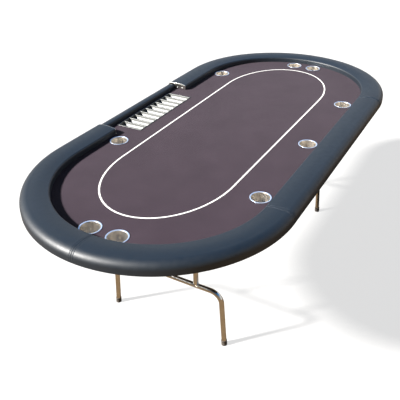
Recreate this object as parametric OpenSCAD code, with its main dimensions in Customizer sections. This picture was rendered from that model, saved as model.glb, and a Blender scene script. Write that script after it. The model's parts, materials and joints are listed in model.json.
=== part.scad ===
// Folding poker table: a racetrack top with a padded rail, a dealer's gap in the rail with a chip
// tray, drop-in cup holders and two folding wishbone legs, each locked by a pair of stays.
// Frame: +X along the table, +Y to the dealer's side, +Z up. The origin is on the floor, under the
// middle of the table. The near leg is the one at -X and the front is the side at -Y.

/* [Table top] */
// Overall length over the rail
table_len = 2250; // [2230:1:2270]
// Overall width over the rail
table_w = 1090; // [1086:1:1096]
// Height of the top of the rail above the floor
table_h = 760; // [750:1:770]
// Height of the top of the rail above the cloth
rail_rise = 31; // [30:1:33]
// Thickness of the table board
board_t = 15; // [14:0.5:16]
// Thickness of the foam under the cloth
underlay_t = 2; // [1.5:0.5:3]
// Thickness of the playing cloth
cloth_t = 1; // [0.8:0.1:1.2]

/* [Padded rail] */
// Width of the rail
rail_w = 113; // [112:0.5:114]
// Rounding of the rail's outer shoulder
rail_outer_r = 30; // [26:1:34]
// Rounding of the rail's inner edge
rail_inner_r = 9; // [7:1:11]
// Thickness of the leatherette cover
cover_t = 1.2; // [1:0.1:1.5]
// Thickness of the wooden rail board
rail_board_t = 12; // [10:1:13]
// Thickness of the padding over the table board's edge
edge_pad = 8; // [7:0.5:9]
// Half length of the dealer's gap in the rail
gap_half = 314; // [304:1:320]
// Width of the low rail across the dealer's gap
dealer_w = 46; // [44:1:48]
// Height of the low rail above the cloth
dealer_rise = 21; // [18:1:23]
// Thickness of the caps on the rail's two ends
cap_t = 5; // [4:0.5:5.5]

/* [Cup holders and tray] */
// Radius of a cup holder's rim
cup_rim_r = 41.5; // [41:0.5:42.5]
// Radius of a cup holder's body at the cloth
cup_top_r = 37; // [36:0.5:38]
// Radius of a cup holder's body at its base
cup_base_r = 33; // [31:0.5:34]
// Depth of a cup holder below the cloth
cup_depth = 60; // [50:1:66]
// Distance of the side cups from the long centre line
cup_side_y = 378; // [375:1:381]
// Spacing of the three cups along the front
cup_pitch = 502; // [495:1:510]
// Distance of the end cups from the table's middle
cup_end_x = 958; // [954:1:960]
// Distance of the end cups from the long centre line
cup_end_y = 58; // [55:1:62]
// Place along the table of the near cup on the dealer's side
dealer_cup_near = -362; // [-370:1:-355]
// Place along the table of the far cup on the dealer's side
dealer_cup_far = 634; // [628:1:640]
// Number of rows in the chip tray
tray_rows = 10; // [6:1:10]
// Spacing of the chip rows
row_pitch = 45; // [44:0.5:45]
// Radius of a chip row
row_r = 20.5; // [20:0.25:20.75]

/* [Markings] */
// Half width of the betting line's oval
line_half_w = 263; // [255:1:268]
// Half length of the betting line's straight sides
line_straight = 498; // [480:1:510]
// Reach of the betting line's rounded ends beyond the straights
line_end = 360; // [350:1:370]
// Width of the betting line
line_w = 7; // [6:0.5:12]
// Offset of the printed line's middle along the table
line_shift_x = 17; // [0:1:25]
// Offset of the printed line's middle towards the dealer
line_shift_y = 10; // [0:1:15]

/* [Legs] */
// Distance of each leg's hinge from the table's middle
leg_x = 600; // [596:1:604]
// Half width between the middles of a leg's feet
foot_y = 285; // [280:1:288]
// Angle by which the feet lean outwards
leg_splay = 3.75; // [0:0.25:5]
// Half spacing of a leg's two struts
strut_y = 148; // [144:1:150]
// Outer diameter of the leg tubes
tube_d = 22; // [21:0.5:23]
// Wall of the leg tubes
tube_wall = 1.5; // [1.2:0.1:2]
// Height of the crossbar above the floor
bar_z = 280; // [270:1:290]
// Bend radius at the crossbar's ends, to the tube's middle
bend_r = 52; // [45:1:60]
// Distance along the table from a leg's hinge to its stay bracket
stay_reach = 340; // [330:1:350]
// Distance down the leg from its hinge to the stay's pivot
stay_drop = 192; // [185:1:198]

/* [Hidden] */
$fn = 96;
EPS = 0.01;
half_w = table_w / 2;
end_x = (table_len - table_w) / 2;
rail_in = half_w - rail_w;
cloth_top = table_h - rail_rise;
board_top = cloth_top - cloth_t - underlay_t;
board_bottom = board_top - board_t;
board_r = half_w - edge_pad;
tuck_z = board_bottom - cover_t;
tuck_w = 36;

// Rail board, its bolts and its T-nuts
rail_board_in = rail_in + 5;
rail_board_out = half_w - 20;
bolt_ring_r = (rail_board_in + rail_board_out) / 2;
bolt_r = 3;
bolt_hole_r = 3.4;
bolt_head_r = 6;
bolt_head_h = 3;
nut_flange_r = 9;
nut_flange_t = 1.5;
nut_barrel_r = 4;
bolt_top = cloth_top + rail_board_t - 4;
bolt_front_x = [-500, -250, 0, 250, 500];
bolt_rear_x = [-430, 430];
bolt_angles = [-60, -20, 20, 60];
bolt_points = concat(
    [for (x = bolt_front_x) [x, -bolt_ring_r]],
    [for (x = bolt_rear_x) [x, bolt_ring_r]],
    [for (s = [-1, 1], a = bolt_angles) [s * (end_x + bolt_ring_r * cos(a)), bolt_ring_r * sin(a)]]
);

// Low dealer rail and the end caps of the full rail
dealer_outer_r = 24;
dealer_inner_r = 8;
dealer_top = cloth_top + dealer_rise;
dealer_in = half_w - dealer_w;
cap_screw_y = [rail_in + 20, rail_in + 50];
cap_screw_z = cloth_top + rail_board_t / 2;
cap_screw_r = 1.5;
cap_screw_len = 22;
cap_head_r = 3.5;
cap_head_h = 1.5;

// Cup holders, numbered along the front, the far end, the dealer's side and the near end
cup_points = concat(
    [for (i = [-1:1]) [i * cup_pitch, -cup_side_y]],
    [for (s = [-1, 1]) [cup_end_x, s * cup_end_y]],
    [[dealer_cup_far, cup_side_y], [dealer_cup_near, cup_side_y]],
    [for (s = [1, -1]) [-cup_end_x, s * cup_end_y]]
);
cup_wall = 0.8;
cup_rim_t = 1.4;
cup_rim_round = 0.5;
cup_base_round = 4;
cup_hole_r = cup_top_r + cup_wall;

// Chip tray
tray_skin = 2.4;
tray_lip_t = 1.5;
tray_front_y = 352;
tray_back_y = 487;
tray_lip = 5;
tray_play = 0.5;
tray_end_wall = tray_play + tray_skin;
tray_half = tray_rows * row_pitch / 2;
tray_hole_half = tray_half + 1.5;
tray_hole_front = tray_front_y + tray_lip;
tray_hole_back = tray_back_y - 2;
row_z = cloth_top + 1;

// Betting line
line_t = 0.3;
line_steps = 32;

// Legs: the far leg stops three degrees short of flat, because it folds over the near one
tube_r = tube_d / 2;
sheet_t = 2.5;
hinge_z = board_bottom - 19;
strut_top = hinge_z + 9;
pin_r = 4;
pin_play = 0.05;
pin_head_r = 6.5;
pin_head_h = 2;
ear_gap = 0.5;
ear_r = 14;
ear_y = tube_r + ear_gap;
plate_half = 32;
plate_hole = 24;
glide_r = 12.8;
glide_base = 6;
glide_h = 26;
glide_sole = 1.5;

// The feet lean outwards; each bend turns the rest of the quarter, up to the crossbar. The bends'
// wall is a hair thicker, and the straight stretches reach a little way into it.
bend_skin = 0.05;
bend_lap = 0.2;
bend_start_z = bar_z - bend_r + bend_r * sin(leg_splay);
lean_len = bend_start_z / cos(leg_splay);
bar_half = foot_y - bend_start_z * tan(leg_splay) - bend_r * cos(leg_splay);

// Stays: a long upper link from the board and a short lower link from the strut. Straight, they
// lock the leg; folded, they lie along each other, so the difference of their lengths is the
// distance left between their two outer pivots.
stay_open = sqrt(stay_reach * stay_reach + stay_drop * stay_drop);
stay_closed = stay_reach - stay_drop;
upper_len = (stay_open + stay_closed) / 2;
lower_len = (stay_open - stay_closed) / 2;
stay_angle = atan2(stay_drop, stay_reach);
link_half = 8;
link_t = 3;
link_pin_r = 3;
link_play = 0.5;
link_spacing = 2.5;
lower_y = strut_y + tube_r + link_play;
upper_y = lower_y + link_t + link_spacing;
boss_r = 6;
boss_gap = 0.3;
rivet_h = 1.6;
pivot_head_r = 5.5;
stay_ear_y = upper_y + link_t + link_play;
stay_ear_half = 14;
stay_plate_w = 36;
stay_screw_dx = 8;
stay_screw_y = stay_ear_y + 22;
stay_ear_r = 10;

// Wood screws of the brackets
screw_r = 1.8;
screw_hole_r = 2.2;
screw_head_r = 4;
screw_head_h = 2.2;
screw_len = 12;
screw_points = concat(
    [for (sx = [-1, 1], sy = [-1, 1], dx = [-1, 1], dy = [-1, 1])
        [sx * leg_x + dx * plate_hole, sy * strut_y + dy * plate_hole]],
    [for (sx = [-1, 1], sy = [-1, 1], dx = [-1, 1])
        [sx * (leg_x - stay_reach) + dx * stay_screw_dx, sy * stay_screw_y]]
);

CUPS = len(cup_points);
SIDES = ["front", "rear"];
ENDS = ["near", "far"];
RAIL_CORNERS = ["near_front", "near_rear", "far_front", "far_rear"];

// ---------- shared shapes ----------

// Racetrack outline whose sides lie r from the long centre line
module racetrack(r) {
    square([2 * end_x, 2 * r], center = true);
    for (s = [-1, 1])
        translate([s * end_x, 0])
            circle(r);
}

// Section of a padded rail, pulled in by d: x runs outwards from the long centre line, y is height
module rail_block(inner, top, inner_r, outer_r, d) {
    low = tuck_z - 1;
    translate([inner + d, low])
        square([half_w - inner - 2 * d, top - outer_r - low]);
    translate([inner + d, low])
        square([half_w - inner - d - outer_r, top - inner_r - low]);
    translate([inner + inner_r, low])
        square([half_w - inner - inner_r - outer_r, top - d - low]);
    translate([inner + inner_r, top - inner_r])
        circle(inner_r - d);
    intersection() {
        translate([half_w - outer_r, top - outer_r])
            circle(outer_r - d);
        translate([half_w - outer_r, low])
            square([outer_r, top - low]);
    }
}

// Space a rail's soft parts may fill: above the cloth, and beside the table board's edge
module rail_room(inner, foot) {
    translate([inner - 1, cloth_top])
        square([half_w - inner + 2, rail_rise + 1]);
    translate([board_r, foot])
        square([edge_pad + 1, cloth_top - foot + 1]);
}

module full_block(d) {
    rail_block(rail_in, table_h, rail_inner_r, rail_outer_r, d);
}

module dealer_block(d) {
    rail_block(dealer_in, dealer_top, dealer_inner_r, dealer_outer_r, d);
}

module full_pad_section() {
    difference() {
        intersection() {
            full_block(cover_t);
            rail_room(rail_in, board_bottom);
        }
        translate([rail_board_in, cloth_top - 1])
            square([rail_board_out - rail_board_in, rail_board_t + 1]);
    }
}

module tuck_section() {
    translate([half_w - tuck_w, tuck_z])
        square([tuck_w, cover_t]);
}

module full_cover_section() {
    intersection() {
        difference() {
            full_block(0);
            full_block(cover_t);
        }
        rail_room(rail_in, tuck_z);
    }
    tuck_section();
}

module dealer_cover_section() {
    intersection() {
        difference() {
            dealer_block(0);
            dealer_block(cover_t);
        }
        rail_room(dealer_in, tuck_z);
    }
    tuck_section();
}

// Section carried along the rear straight from x0 to x1
module along_rear(x0, x1) {
    translate([x0, 0, 0])
        rotate([90, 0, 90])
            linear_extrude(x1 - x0)
                children();
}

module along_front(x0, x1) {
    mirror([0, 1, 0])
        along_rear(x0, x1)
            children();
}

// Section carried round the quarter of the far end that starts at the given angle
module round_far_end(start) {
    translate([end_x, 0, 0])
        rotate([0, 0, start])
            rotate_extrude(angle = 90)
                children();
}

// The section carried along one of the rail's four corner stretches
module rail_corner(corner) {
    flip = corner == "near_front" || corner == "near_rear";
    rear = corner == "near_rear" || corner == "far_rear";
    mirror([flip ? 1 : 0, 0, 0]) {
        round_far_end(rear ? 0 : -90)
            children();
        if (rear)
            along_rear(gap_half, end_x + EPS)
                children();
    }
}

// Vertical holes at a list of points
module holes(points, r, z0, z1) {
    for (p = points)
        translate([p[0], p[1], z0])
            cylinder(r = r, h = z1 - z0);
}

// Openings that every layer of the table top shares
module top_openings(z0, z1) {
    holes(cup_points, cup_hole_r, z0, z1);
    holes(bolt_points, bolt_hole_r, z0, z1);
    translate([-tray_hole_half, tray_hole_front, z0])
        cube([2 * tray_hole_half, tray_hole_back - tray_hole_front, z1 - z0]);
}

// Moves what is modelled at the near end and the rear side to the named end and side
module placed(end, side) {
    mirror([end == "far" ? 1 : 0, 0, 0])
        mirror([0, side == "front" ? 1 : 0, 0])
            children();
}

module both_sides(end) {
    for (s = SIDES)
        placed(end, s)
            children();
}

// Cylinder along Y from y0 to y1
module rod_y(x, z, r, y0, y1) {
    translate([x, y1, z])
        rotate([90, 0, 0])
            cylinder(r = r, h = y1 - y0);
}

module tube_ring(skin = 0) {
    difference() {
        circle(tube_r + skin);
        circle(tube_r - tube_wall - skin);
    }
}

// Flat link with round ends, its first pivot at the origin and its second at length along X
module link(length, hole_first, hole_last) {
    difference() {
        union() {
            translate([0, 0, -link_half])
                cube([length, link_t, 2 * link_half]);
            rod_y(0, 0, link_half, 0, link_t);
            rod_y(length, 0, link_half, 0, link_t);
        }
        if (hole_first)
            rod_y(0, 0, link_pin_r + pin_play, -1, link_t + 1);
        if (hole_last)
            rod_y(length, 0, link_pin_r + pin_play, -1, link_t + 1);
    }
}

// ---------- table top ----------

module table_board() {
    color([0.10, 0.09, 0.08])
        difference() {
            translate([0, 0, board_bottom])
                linear_extrude(board_t)
                    racetrack(board_r);
            top_openings(board_bottom - 1, board_top + 1);
            holes(screw_points, screw_r, board_bottom - 1, board_bottom + screw_len);
        }
}

module foam_underlay() {
    color("lightgray")
        difference() {
            translate([0, 0, board_top])
                linear_extrude(underlay_t)
                    racetrack(board_r);
            top_openings(board_top - 1, cloth_top + 1);
        }
}

module speed_cloth() {
    color([0.40, 0.35, 0.38])
        difference() {
            translate([0, 0, cloth_top - cloth_t])
                linear_extrude(cloth_t)
                    racetrack(board_r);
            top_openings(board_top - 1, cloth_top + 1);
        }
}

// Oval of the betting line: straight sides with half-ellipse ends, grown by d
function oval_end(d, from) = [
    for (i = [0:line_steps])
        let (a = from + 180 * i / line_steps)
            [-sign(from) * line_straight + (line_end + d) * cos(a),
                (line_half_w + d) * sin(a)]
];

module oval(d) {
    polygon(concat(oval_end(d, -90), oval_end(d, 90)));
}

module betting_line() {
    color("white")
        translate([line_shift_x, line_shift_y, cloth_top])
            linear_extrude(line_t)
                difference() {
                    oval(line_w / 2);
                    oval(-line_w / 2);
                }
}

// ---------- rail ----------

module rail_board() {
    color([0.10, 0.09, 0.08])
        difference() {
            translate([0, 0, cloth_top])
                linear_extrude(rail_board_t)
                    difference() {
                        racetrack(rail_board_out);
                        racetrack(rail_board_in);
                        translate([-gap_half, 0])
                            square([2 * gap_half, half_w]);
                    }
            holes(bolt_points, nut_barrel_r, cloth_top - 1, cloth_top + rail_board_t + 1);
            holes(bolt_points, nut_flange_r, cloth_top + rail_board_t - nut_flange_t,
                cloth_top + rail_board_t + 1);
            cap_screw_shapes(0);
        }
}

module rail_bolts() {
    color("silver") {
        holes(bolt_points, bolt_head_r, board_bottom - bolt_head_h, board_bottom);
        holes(bolt_points, bolt_r, board_bottom - bolt_head_h, bolt_top);
    }
}

module rail_t_nuts() {
    color("silver")
        difference() {
            union() {
                holes(bolt_points, nut_barrel_r, cloth_top + 1, cloth_top + rail_board_t);
                holes(bolt_points, nut_flange_r, cloth_top + rail_board_t - nut_flange_t,
                    cloth_top + rail_board_t);
            }
            holes(bolt_points, bolt_r, cloth_top, cloth_top + rail_board_t + 1);
        }
}

module rail_pad_front() {
    color("gold")
        along_front(-end_x, end_x)
            full_pad_section();
}

module rail_cover_front() {
    color([0.15, 0.2, 0.27])
        along_front(-end_x, end_x)
            full_cover_section();
}

module rail_pad_corner(corner) {
    color("gold")
        difference() {
            rail_corner(corner)
                full_pad_section();
            cap_screw_shapes(0);
        }
}

module rail_cover_corner(corner) {
    color([0.15, 0.2, 0.27])
        rail_corner(corner)
            full_cover_section();
}

module dealer_rail_pad() {
    color("gold")
        along_rear(-gap_half, gap_half)
            intersection() {
                dealer_block(cover_t);
                rail_room(dealer_in, board_bottom);
            }
}

module dealer_rail_cover() {
    color([0.15, 0.2, 0.27])
        along_rear(-gap_half, gap_half)
            dealer_cover_section();
}

// Shanks of the end caps' screws, with their heads when asked for
module cap_screw_shapes(heads) {
    for (s = [-1, 1], y = cap_screw_y)
        translate([s * (gap_half - cap_t), y, cap_screw_z])
            rotate([0, s * 90, 0]) {
                cylinder(r = cap_screw_r, h = cap_screw_len);
                if (heads > 0)
                    translate([0, 0, -cap_head_h])
                        cylinder(r = cap_head_r, h = cap_head_h);
            }
}

module rail_end_cap(end) {
    color("gainsboro")
        difference() {
            mirror([end == "near" ? 1 : 0, 0, 0])
                along_rear(gap_half - cap_t, gap_half)
                    difference() {
                        intersection() {
                            full_block(0);
                            translate([rail_in - 1, cloth_top])
                                square([rail_w + 2, rail_rise + 1]);
                        }
                        dealer_block(0);
                    }
            cap_screw_shapes(0);
        }
}

module end_cap_screws() {
    color("silver")
        cap_screw_shapes(1);
}

// ---------- cup holders and chip tray ----------

module cup_holder(i) {
    base_z = cloth_top - cup_depth;
    rim_top = cloth_top + cup_rim_t;
    color("silver")
        translate([cup_points[i][0], cup_points[i][1], 0])
            rotate_extrude()
                polygon([
                    [0, base_z],
                    [cup_base_r - cup_base_round, base_z],
                    [cup_base_r, base_z + cup_base_round],
                    [cup_top_r, cloth_top],
                    [cup_rim_r - cup_rim_round, cloth_top],
                    [cup_rim_r, cloth_top + cup_rim_round],
                    [cup_rim_r - cup_rim_round, rim_top],
                    [cup_top_r + cup_rim_round, rim_top],
                    [cup_top_r - cup_wall, cloth_top],
                    [cup_base_r - cup_wall, base_z + cup_base_round],
                    [cup_base_r - cup_base_round, base_z + cup_wall],
                    [0, base_z + cup_wall]
                ]);
}

// Chip rows as cylinders of radius r along the tray's depth
module tray_row_shapes(r, y0, y1) {
    for (i = [0:tray_rows - 1])
        rod_y((i + 0.5) * row_pitch - tray_half, row_z, r, y0, y1);
}

module chip_tray() {
    lip_top = cloth_top + tray_lip_t;
    color("gainsboro")
        difference() {
            union() {
                translate([-tray_half - tray_lip, tray_front_y, cloth_top])
                    cube([2 * (tray_half + tray_lip), tray_back_y - tray_front_y, tray_lip_t]);
                intersection() {
                    tray_row_shapes(row_r + tray_skin, tray_hole_front + tray_play,
                        tray_hole_back - tray_play);
                    translate([-tray_half - tray_lip, tray_front_y, cloth_top - 2 * row_r])
                        cube([2 * (tray_half + tray_lip), tray_back_y - tray_front_y, 2 * row_r]);
                }
            }
            tray_row_shapes(row_r, tray_hole_front + tray_end_wall, tray_hole_back - tray_end_wall);
        }
}

// ---------- legs ----------

// Moves what is modelled on an upright foot at the origin to each leaning foot of an end
module leaning_feet(end) {
    both_sides(end)
        translate([-leg_x, foot_y, 0])
            rotate([leg_splay, 0, 0])
                children();
}

module leg_u_tube(end) {
    color("silver") {
        leaning_feet(end) {
            translate([0, 0, glide_base])
                linear_extrude(lean_len + bend_lap - glide_base)
                    tube_ring();
            translate([0, -bend_r, lean_len])
                rotate([90, 0, 90])
                    rotate_extrude(angle = 90 - leg_splay)
                        translate([bend_r, 0])
                            tube_ring(bend_skin);
        }
        placed(end, "rear")
            translate([-leg_x, -bar_half - bend_lap, bar_z])
                rotate([-90, 0, 0])
                    linear_extrude(2 * (bar_half + bend_lap))
                        tube_ring();
    }
}

module leg_struts(end) {
    color("silver")
        both_sides(end)
            difference() {
                translate([-leg_x, strut_y, bar_z])
                    linear_extrude(strut_top - bar_z)
                        tube_ring();
                rod_y(-leg_x, bar_z, tube_r, strut_y - 2 * tube_r, strut_y + 2 * tube_r);
                rod_y(-leg_x, hinge_z, pin_r + pin_play, strut_y - 2 * tube_r, strut_y + 2 * tube_r);
                rod_y(-leg_x, hinge_z - stay_drop, link_pin_r, strut_y - 2 * tube_r,
                    strut_y + 2 * tube_r);
            }
}

// The glides follow the leaning tubes and are cut flat on the floor
module leg_glides(end) {
    color("dimgray")
        difference() {
            leaning_feet(end)
                rotate_extrude()
                    polygon([
                        [0, -glide_sole],
                        [glide_r, -glide_sole],
                        [glide_r, glide_h - 1],
                        [glide_r - 1, glide_h],
                        [tube_r, glide_h],
                        [tube_r, glide_base],
                        [0, glide_base]
                    ]);
            placed(end, "rear")
                translate([-leg_x - 2 * glide_r, -half_w, -2 * glide_base])
                    cube([4 * glide_r, 2 * half_w, 2 * glide_base]);
        }
}

module hinge_bracket(end, side) {
    color("silver")
        placed(end, side)
            difference() {
                union() {
                    translate([-leg_x - plate_half, strut_y - plate_half, board_bottom - sheet_t])
                        cube([2 * plate_half, 2 * plate_half, sheet_t]);
                    for (y = [strut_y - ear_y - sheet_t, strut_y + ear_y]) {
                        rod_y(-leg_x, hinge_z, ear_r, y, y + sheet_t);
                        translate([-leg_x - ear_r, y, hinge_z])
                            cube([2 * ear_r, sheet_t, board_bottom - hinge_z - 1]);
                    }
                }
                rod_y(-leg_x, hinge_z, pin_r, strut_y - plate_half, strut_y + plate_half);
                holes(screw_points, screw_hole_r, board_bottom - sheet_t - 1, board_bottom + 1);
            }
}

module leg_hinge_pins() {
    reach = ear_y + sheet_t;
    color("silver")
        for (e = ENDS)
            both_sides(e) {
                rod_y(-leg_x, hinge_z, pin_r, strut_y - reach - pin_head_h, strut_y + reach + pin_head_h);
                rod_y(-leg_x, hinge_z, pin_head_r, strut_y - reach - pin_head_h, strut_y - reach);
                rod_y(-leg_x, hinge_z, pin_head_r, strut_y + reach, strut_y + reach + pin_head_h);
            }
}

// ---------- stays ----------

module stay_bracket(end, side) {
    x = stay_reach - leg_x;
    color("silver")
        placed(end, side)
            difference() {
                union() {
                    translate([x - stay_ear_half, stay_ear_y, board_bottom - sheet_t])
                        cube([2 * stay_ear_half, stay_plate_w, sheet_t]);
                    translate([x - stay_ear_r, stay_ear_y, hinge_z])
                        cube([2 * stay_ear_r, sheet_t, board_bottom - hinge_z - 1]);
                    rod_y(x, hinge_z, stay_ear_r, stay_ear_y, stay_ear_y + sheet_t);
                }
                rod_y(x, hinge_z, link_pin_r, stay_ear_y - 1, stay_ear_y + sheet_t + 1);
                holes(screw_points, screw_hole_r, board_bottom - sheet_t - 1, board_bottom + 1);
            }
}

// Rivet from each stay bracket through its upper link
module stay_bracket_pins() {
    x = stay_reach - leg_x;
    color("silver")
        for (e = ENDS)
            both_sides(e) {
                rod_y(x, hinge_z, link_pin_r, upper_y - boss_gap - rivet_h, stay_ear_y + sheet_t + rivet_h);
                rod_y(x, hinge_z, boss_r, upper_y - boss_gap - rivet_h, upper_y - boss_gap);
                rod_y(x, hinge_z, boss_r, stay_ear_y + sheet_t, stay_ear_y + sheet_t + rivet_h);
            }
}

// Rivet from each strut through its lower link
module stay_pins(end) {
    z = hinge_z - stay_drop;
    head_y = lower_y + link_t + boss_gap;
    color("silver")
        both_sides(end) {
            rod_y(-leg_x, z, link_pin_r, strut_y - tube_r - rivet_h, head_y + rivet_h);
            rod_y(-leg_x, z, boss_r, strut_y - tube_r - rivet_h, strut_y - tube_r);
            rod_y(-leg_x, z, pivot_head_r, head_y, head_y + rivet_h);
        }
}

// Upper link, from the stay bracket down to the elbow, with the elbow rivet's outer head
module stay_upper(end, side) {
    color("silver")
        placed(end, side)
            translate([stay_reach - leg_x, upper_y, hinge_z])
                rotate([0, 180 - stay_angle, 0]) {
                    link(upper_len, true, false);
                    rod_y(upper_len, 0, boss_r, link_t, link_t + rivet_h);
                }
}

// Lower link, from the strut up to the elbow, with the elbow's spacer. The elbow rivet ends flush
// on the inner side, so that the folded link can lie against the strut.
module stay_lower(end, side) {
    color("silver")
        placed(end, side)
            translate([-leg_x, lower_y, hinge_z - stay_drop])
                rotate([0, -stay_angle, 0]) {
                    link(lower_len, true, false);
                    rod_y(lower_len, 0, boss_r, link_t, upper_y - lower_y - boss_gap);
                }
}

module bracket_screws() {
    color("silver") {
        holes(screw_points, screw_r, board_bottom - sheet_t, board_bottom + screw_len);
        holes(screw_points, screw_head_r, board_bottom - sheet_t - screw_head_h, board_bottom - sheet_t);
    }
}

// ---------- assembly ----------

table_board();
foam_underlay();
speed_cloth();
betting_line();
rail_board();
rail_bolts();
rail_t_nuts();
rail_pad_front();
rail_cover_front();
dealer_rail_pad();
dealer_rail_cover();
for (c = RAIL_CORNERS) {
    rail_pad_corner(c);
    rail_cover_corner(c);
}
rail_end_cap("near");  // near_rail_end_cap
rail_end_cap("far");  // far_rail_end_cap
end_cap_screws();
chip_tray();
for (i = [1:CUPS])
    cup_holder(i - 1);
bracket_screws();
leg_hinge_pins();
stay_bracket_pins();
for (e = ENDS) {
    leg_u_tube(e);
    leg_struts(e);
    leg_glides(e);
    stay_pins(e);
    for (s = SIDES) {
        hinge_bracket(e, s);
        stay_bracket(e, s);
        stay_upper(e, s);
        stay_lower(e, s);
    }
}
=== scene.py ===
"""Looks of the folding poker table: padded rail, cloth, cup holders, chip tray, legs, light and camera."""

import json
import math

import bpy
import numpy as np
from mathutils import Matrix, Vector, geometry, noise


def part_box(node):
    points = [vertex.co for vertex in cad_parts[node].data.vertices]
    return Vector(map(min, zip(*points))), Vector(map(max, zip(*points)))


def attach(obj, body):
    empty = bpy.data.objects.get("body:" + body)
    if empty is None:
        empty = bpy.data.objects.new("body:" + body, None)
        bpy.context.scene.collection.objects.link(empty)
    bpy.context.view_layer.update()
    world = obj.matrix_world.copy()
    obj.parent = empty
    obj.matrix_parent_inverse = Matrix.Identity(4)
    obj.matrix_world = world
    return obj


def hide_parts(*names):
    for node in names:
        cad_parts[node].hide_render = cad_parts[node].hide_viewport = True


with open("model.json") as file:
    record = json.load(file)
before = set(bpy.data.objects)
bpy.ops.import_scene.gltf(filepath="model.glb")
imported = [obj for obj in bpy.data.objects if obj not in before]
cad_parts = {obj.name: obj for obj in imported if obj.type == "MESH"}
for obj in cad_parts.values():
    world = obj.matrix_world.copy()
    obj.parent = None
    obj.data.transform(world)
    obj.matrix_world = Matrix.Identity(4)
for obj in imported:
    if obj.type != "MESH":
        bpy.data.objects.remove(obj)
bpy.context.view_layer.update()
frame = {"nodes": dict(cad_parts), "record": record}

BODY = "table_top"
ENDS = ("near", "far")
MM = 0.001

# ---------- places, all from the frame ----------

RAIL_LOW, RAIL_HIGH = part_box("rail_cover_front")
BOARD_LOW, BOARD_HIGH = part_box("table_board")
CLOTH_LOW, CLOTH_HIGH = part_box("speed_cloth")
DEALER_LOW, DEALER_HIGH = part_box("dealer_rail_cover")
TRAY_LOW, TRAY_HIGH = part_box("chip_tray")

HALF_W = -RAIL_LOW[1]
RAIL_IN = -RAIL_HIGH[1]
RAIL_TOP = RAIL_HIGH[2]
TUCK_Z = RAIL_LOW[2]
END_X = RAIL_HIGH[0]
BOARD_R = BOARD_HIGH[1]
BOARD_Z = BOARD_LOW[2]
CLOTH_Z = CLOTH_HIGH[2]
CLOTH_T = CLOTH_HIGH[2] - CLOTH_LOW[2]
GAP_HALF = DEALER_HIGH[0]
DEALER_IN = DEALER_LOW[1]
DEALER_TOP = DEALER_HIGH[2]
TUCK_W = 36 * MM
MID_R = (RAIL_IN + HALF_W) / 2

STRAIGHT = 2 * END_X
QUARTER = MID_R * math.pi / 2


# ---------- mesh helpers ----------

def mesh_object(name, verts, faces, mat, sharp=35.0):
    """A new object at the origin, with outward normals, smooth apart from edges sharper than the angle."""
    mesh = bpy.data.meshes.new(name)
    mesh.from_pydata([tuple(v) for v in verts], [], faces)
    obj = bpy.data.objects.new(name, mesh)
    bpy.context.scene.collection.objects.link(obj)
    fix_normals(mesh)
    mesh.shade_smooth()
    mesh.set_sharp_from_angle(angle=math.radians(sharp))
    mesh.materials.append(mat)
    return obj


def fix_normals(mesh):
    import bmesh
    bm = bmesh.new()
    bm.from_mesh(mesh)
    bmesh.ops.recalc_face_normals(bm, faces=bm.faces)
    bm.to_mesh(mesh)
    bm.free()


class Parts:
    """Collects many small closed shapes into one mesh."""

    def __init__(self):
        self.verts, self.faces = [], []

    def add(self, verts, faces):
        base = len(self.verts)
        self.verts.extend(verts)
        self.faces.extend([[base + i for i in f] for f in faces])

    def make(self, name, mat, sharp=35.0):
        return mesh_object(name, self.verts, self.faces, mat, sharp)


def grid_faces(rows, cols, closed_rows=False, closed_cols=False):
    """Quads of a grid of points stored row by row."""
    faces = []
    for i in range(rows if closed_rows else rows - 1):
        for j in range(cols if closed_cols else cols - 1):
            i2, j2 = (i + 1) % rows, (j + 1) % cols
            faces.append([i * cols + j, i * cols + j2, i2 * cols + j2, i2 * cols + j])
    return faces


def lathe(profile, center, segments=64, axis=None):
    """(verts, faces) of a closed profile of (radius, height) that starts and ends on the axis."""
    inner = profile[1:-1]
    verts, faces = [], []
    for k in range(segments):
        a = 2 * math.pi * k / segments
        verts += [(r * math.cos(a), r * math.sin(a), z) for r, z in inner]
    n = len(inner)
    faces += grid_faces(segments, n, closed_rows=True)
    first, last = len(verts), len(verts) + 1
    verts += [(0, 0, profile[0][1]), (0, 0, profile[-1][1])]
    for k in range(segments):
        k2 = (k + 1) % segments
        faces.append([first, k * n, k2 * n])
        faces.append([last, k2 * n + n - 1, k * n + n - 1])
    turn = Vector((0, 0, 1)).rotation_difference(Vector(axis or (0, 0, 1))).to_matrix()
    return [tuple(turn @ Vector(v) + Vector(center)) for v in verts], faces


def ring_lathe(profile, center, segments=48):
    """(verts, faces) of a closed loop profile of (radius, height) that stays off the axis."""
    verts = []
    for k in range(segments):
        a = 2 * math.pi * k / segments
        verts += [(center[0] + r * math.cos(a), center[1] + r * math.sin(a), center[2] + z)
                  for r, z in profile]
    return verts, grid_faces(segments, len(profile), closed_rows=True, closed_cols=True)


def arc(cx, cy, rx, ry, a0, a1, steps):
    """Points of an ellipse's arc, from angle a0 to a1 in degrees."""
    out = []
    for i in range(steps + 1):
        a = math.radians(a0 + (a1 - a0) * i / steps)
        out.append((cx + rx * math.cos(a), cy + ry * math.sin(a)))
    return out


def line(p, q, steps):
    """Points after p on the straight from p to q, without q."""
    return [(p[0] + (q[0] - p[0]) * i / steps, p[1] + (q[1] - p[1]) * i / steps) for i in range(1, steps)]


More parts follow.
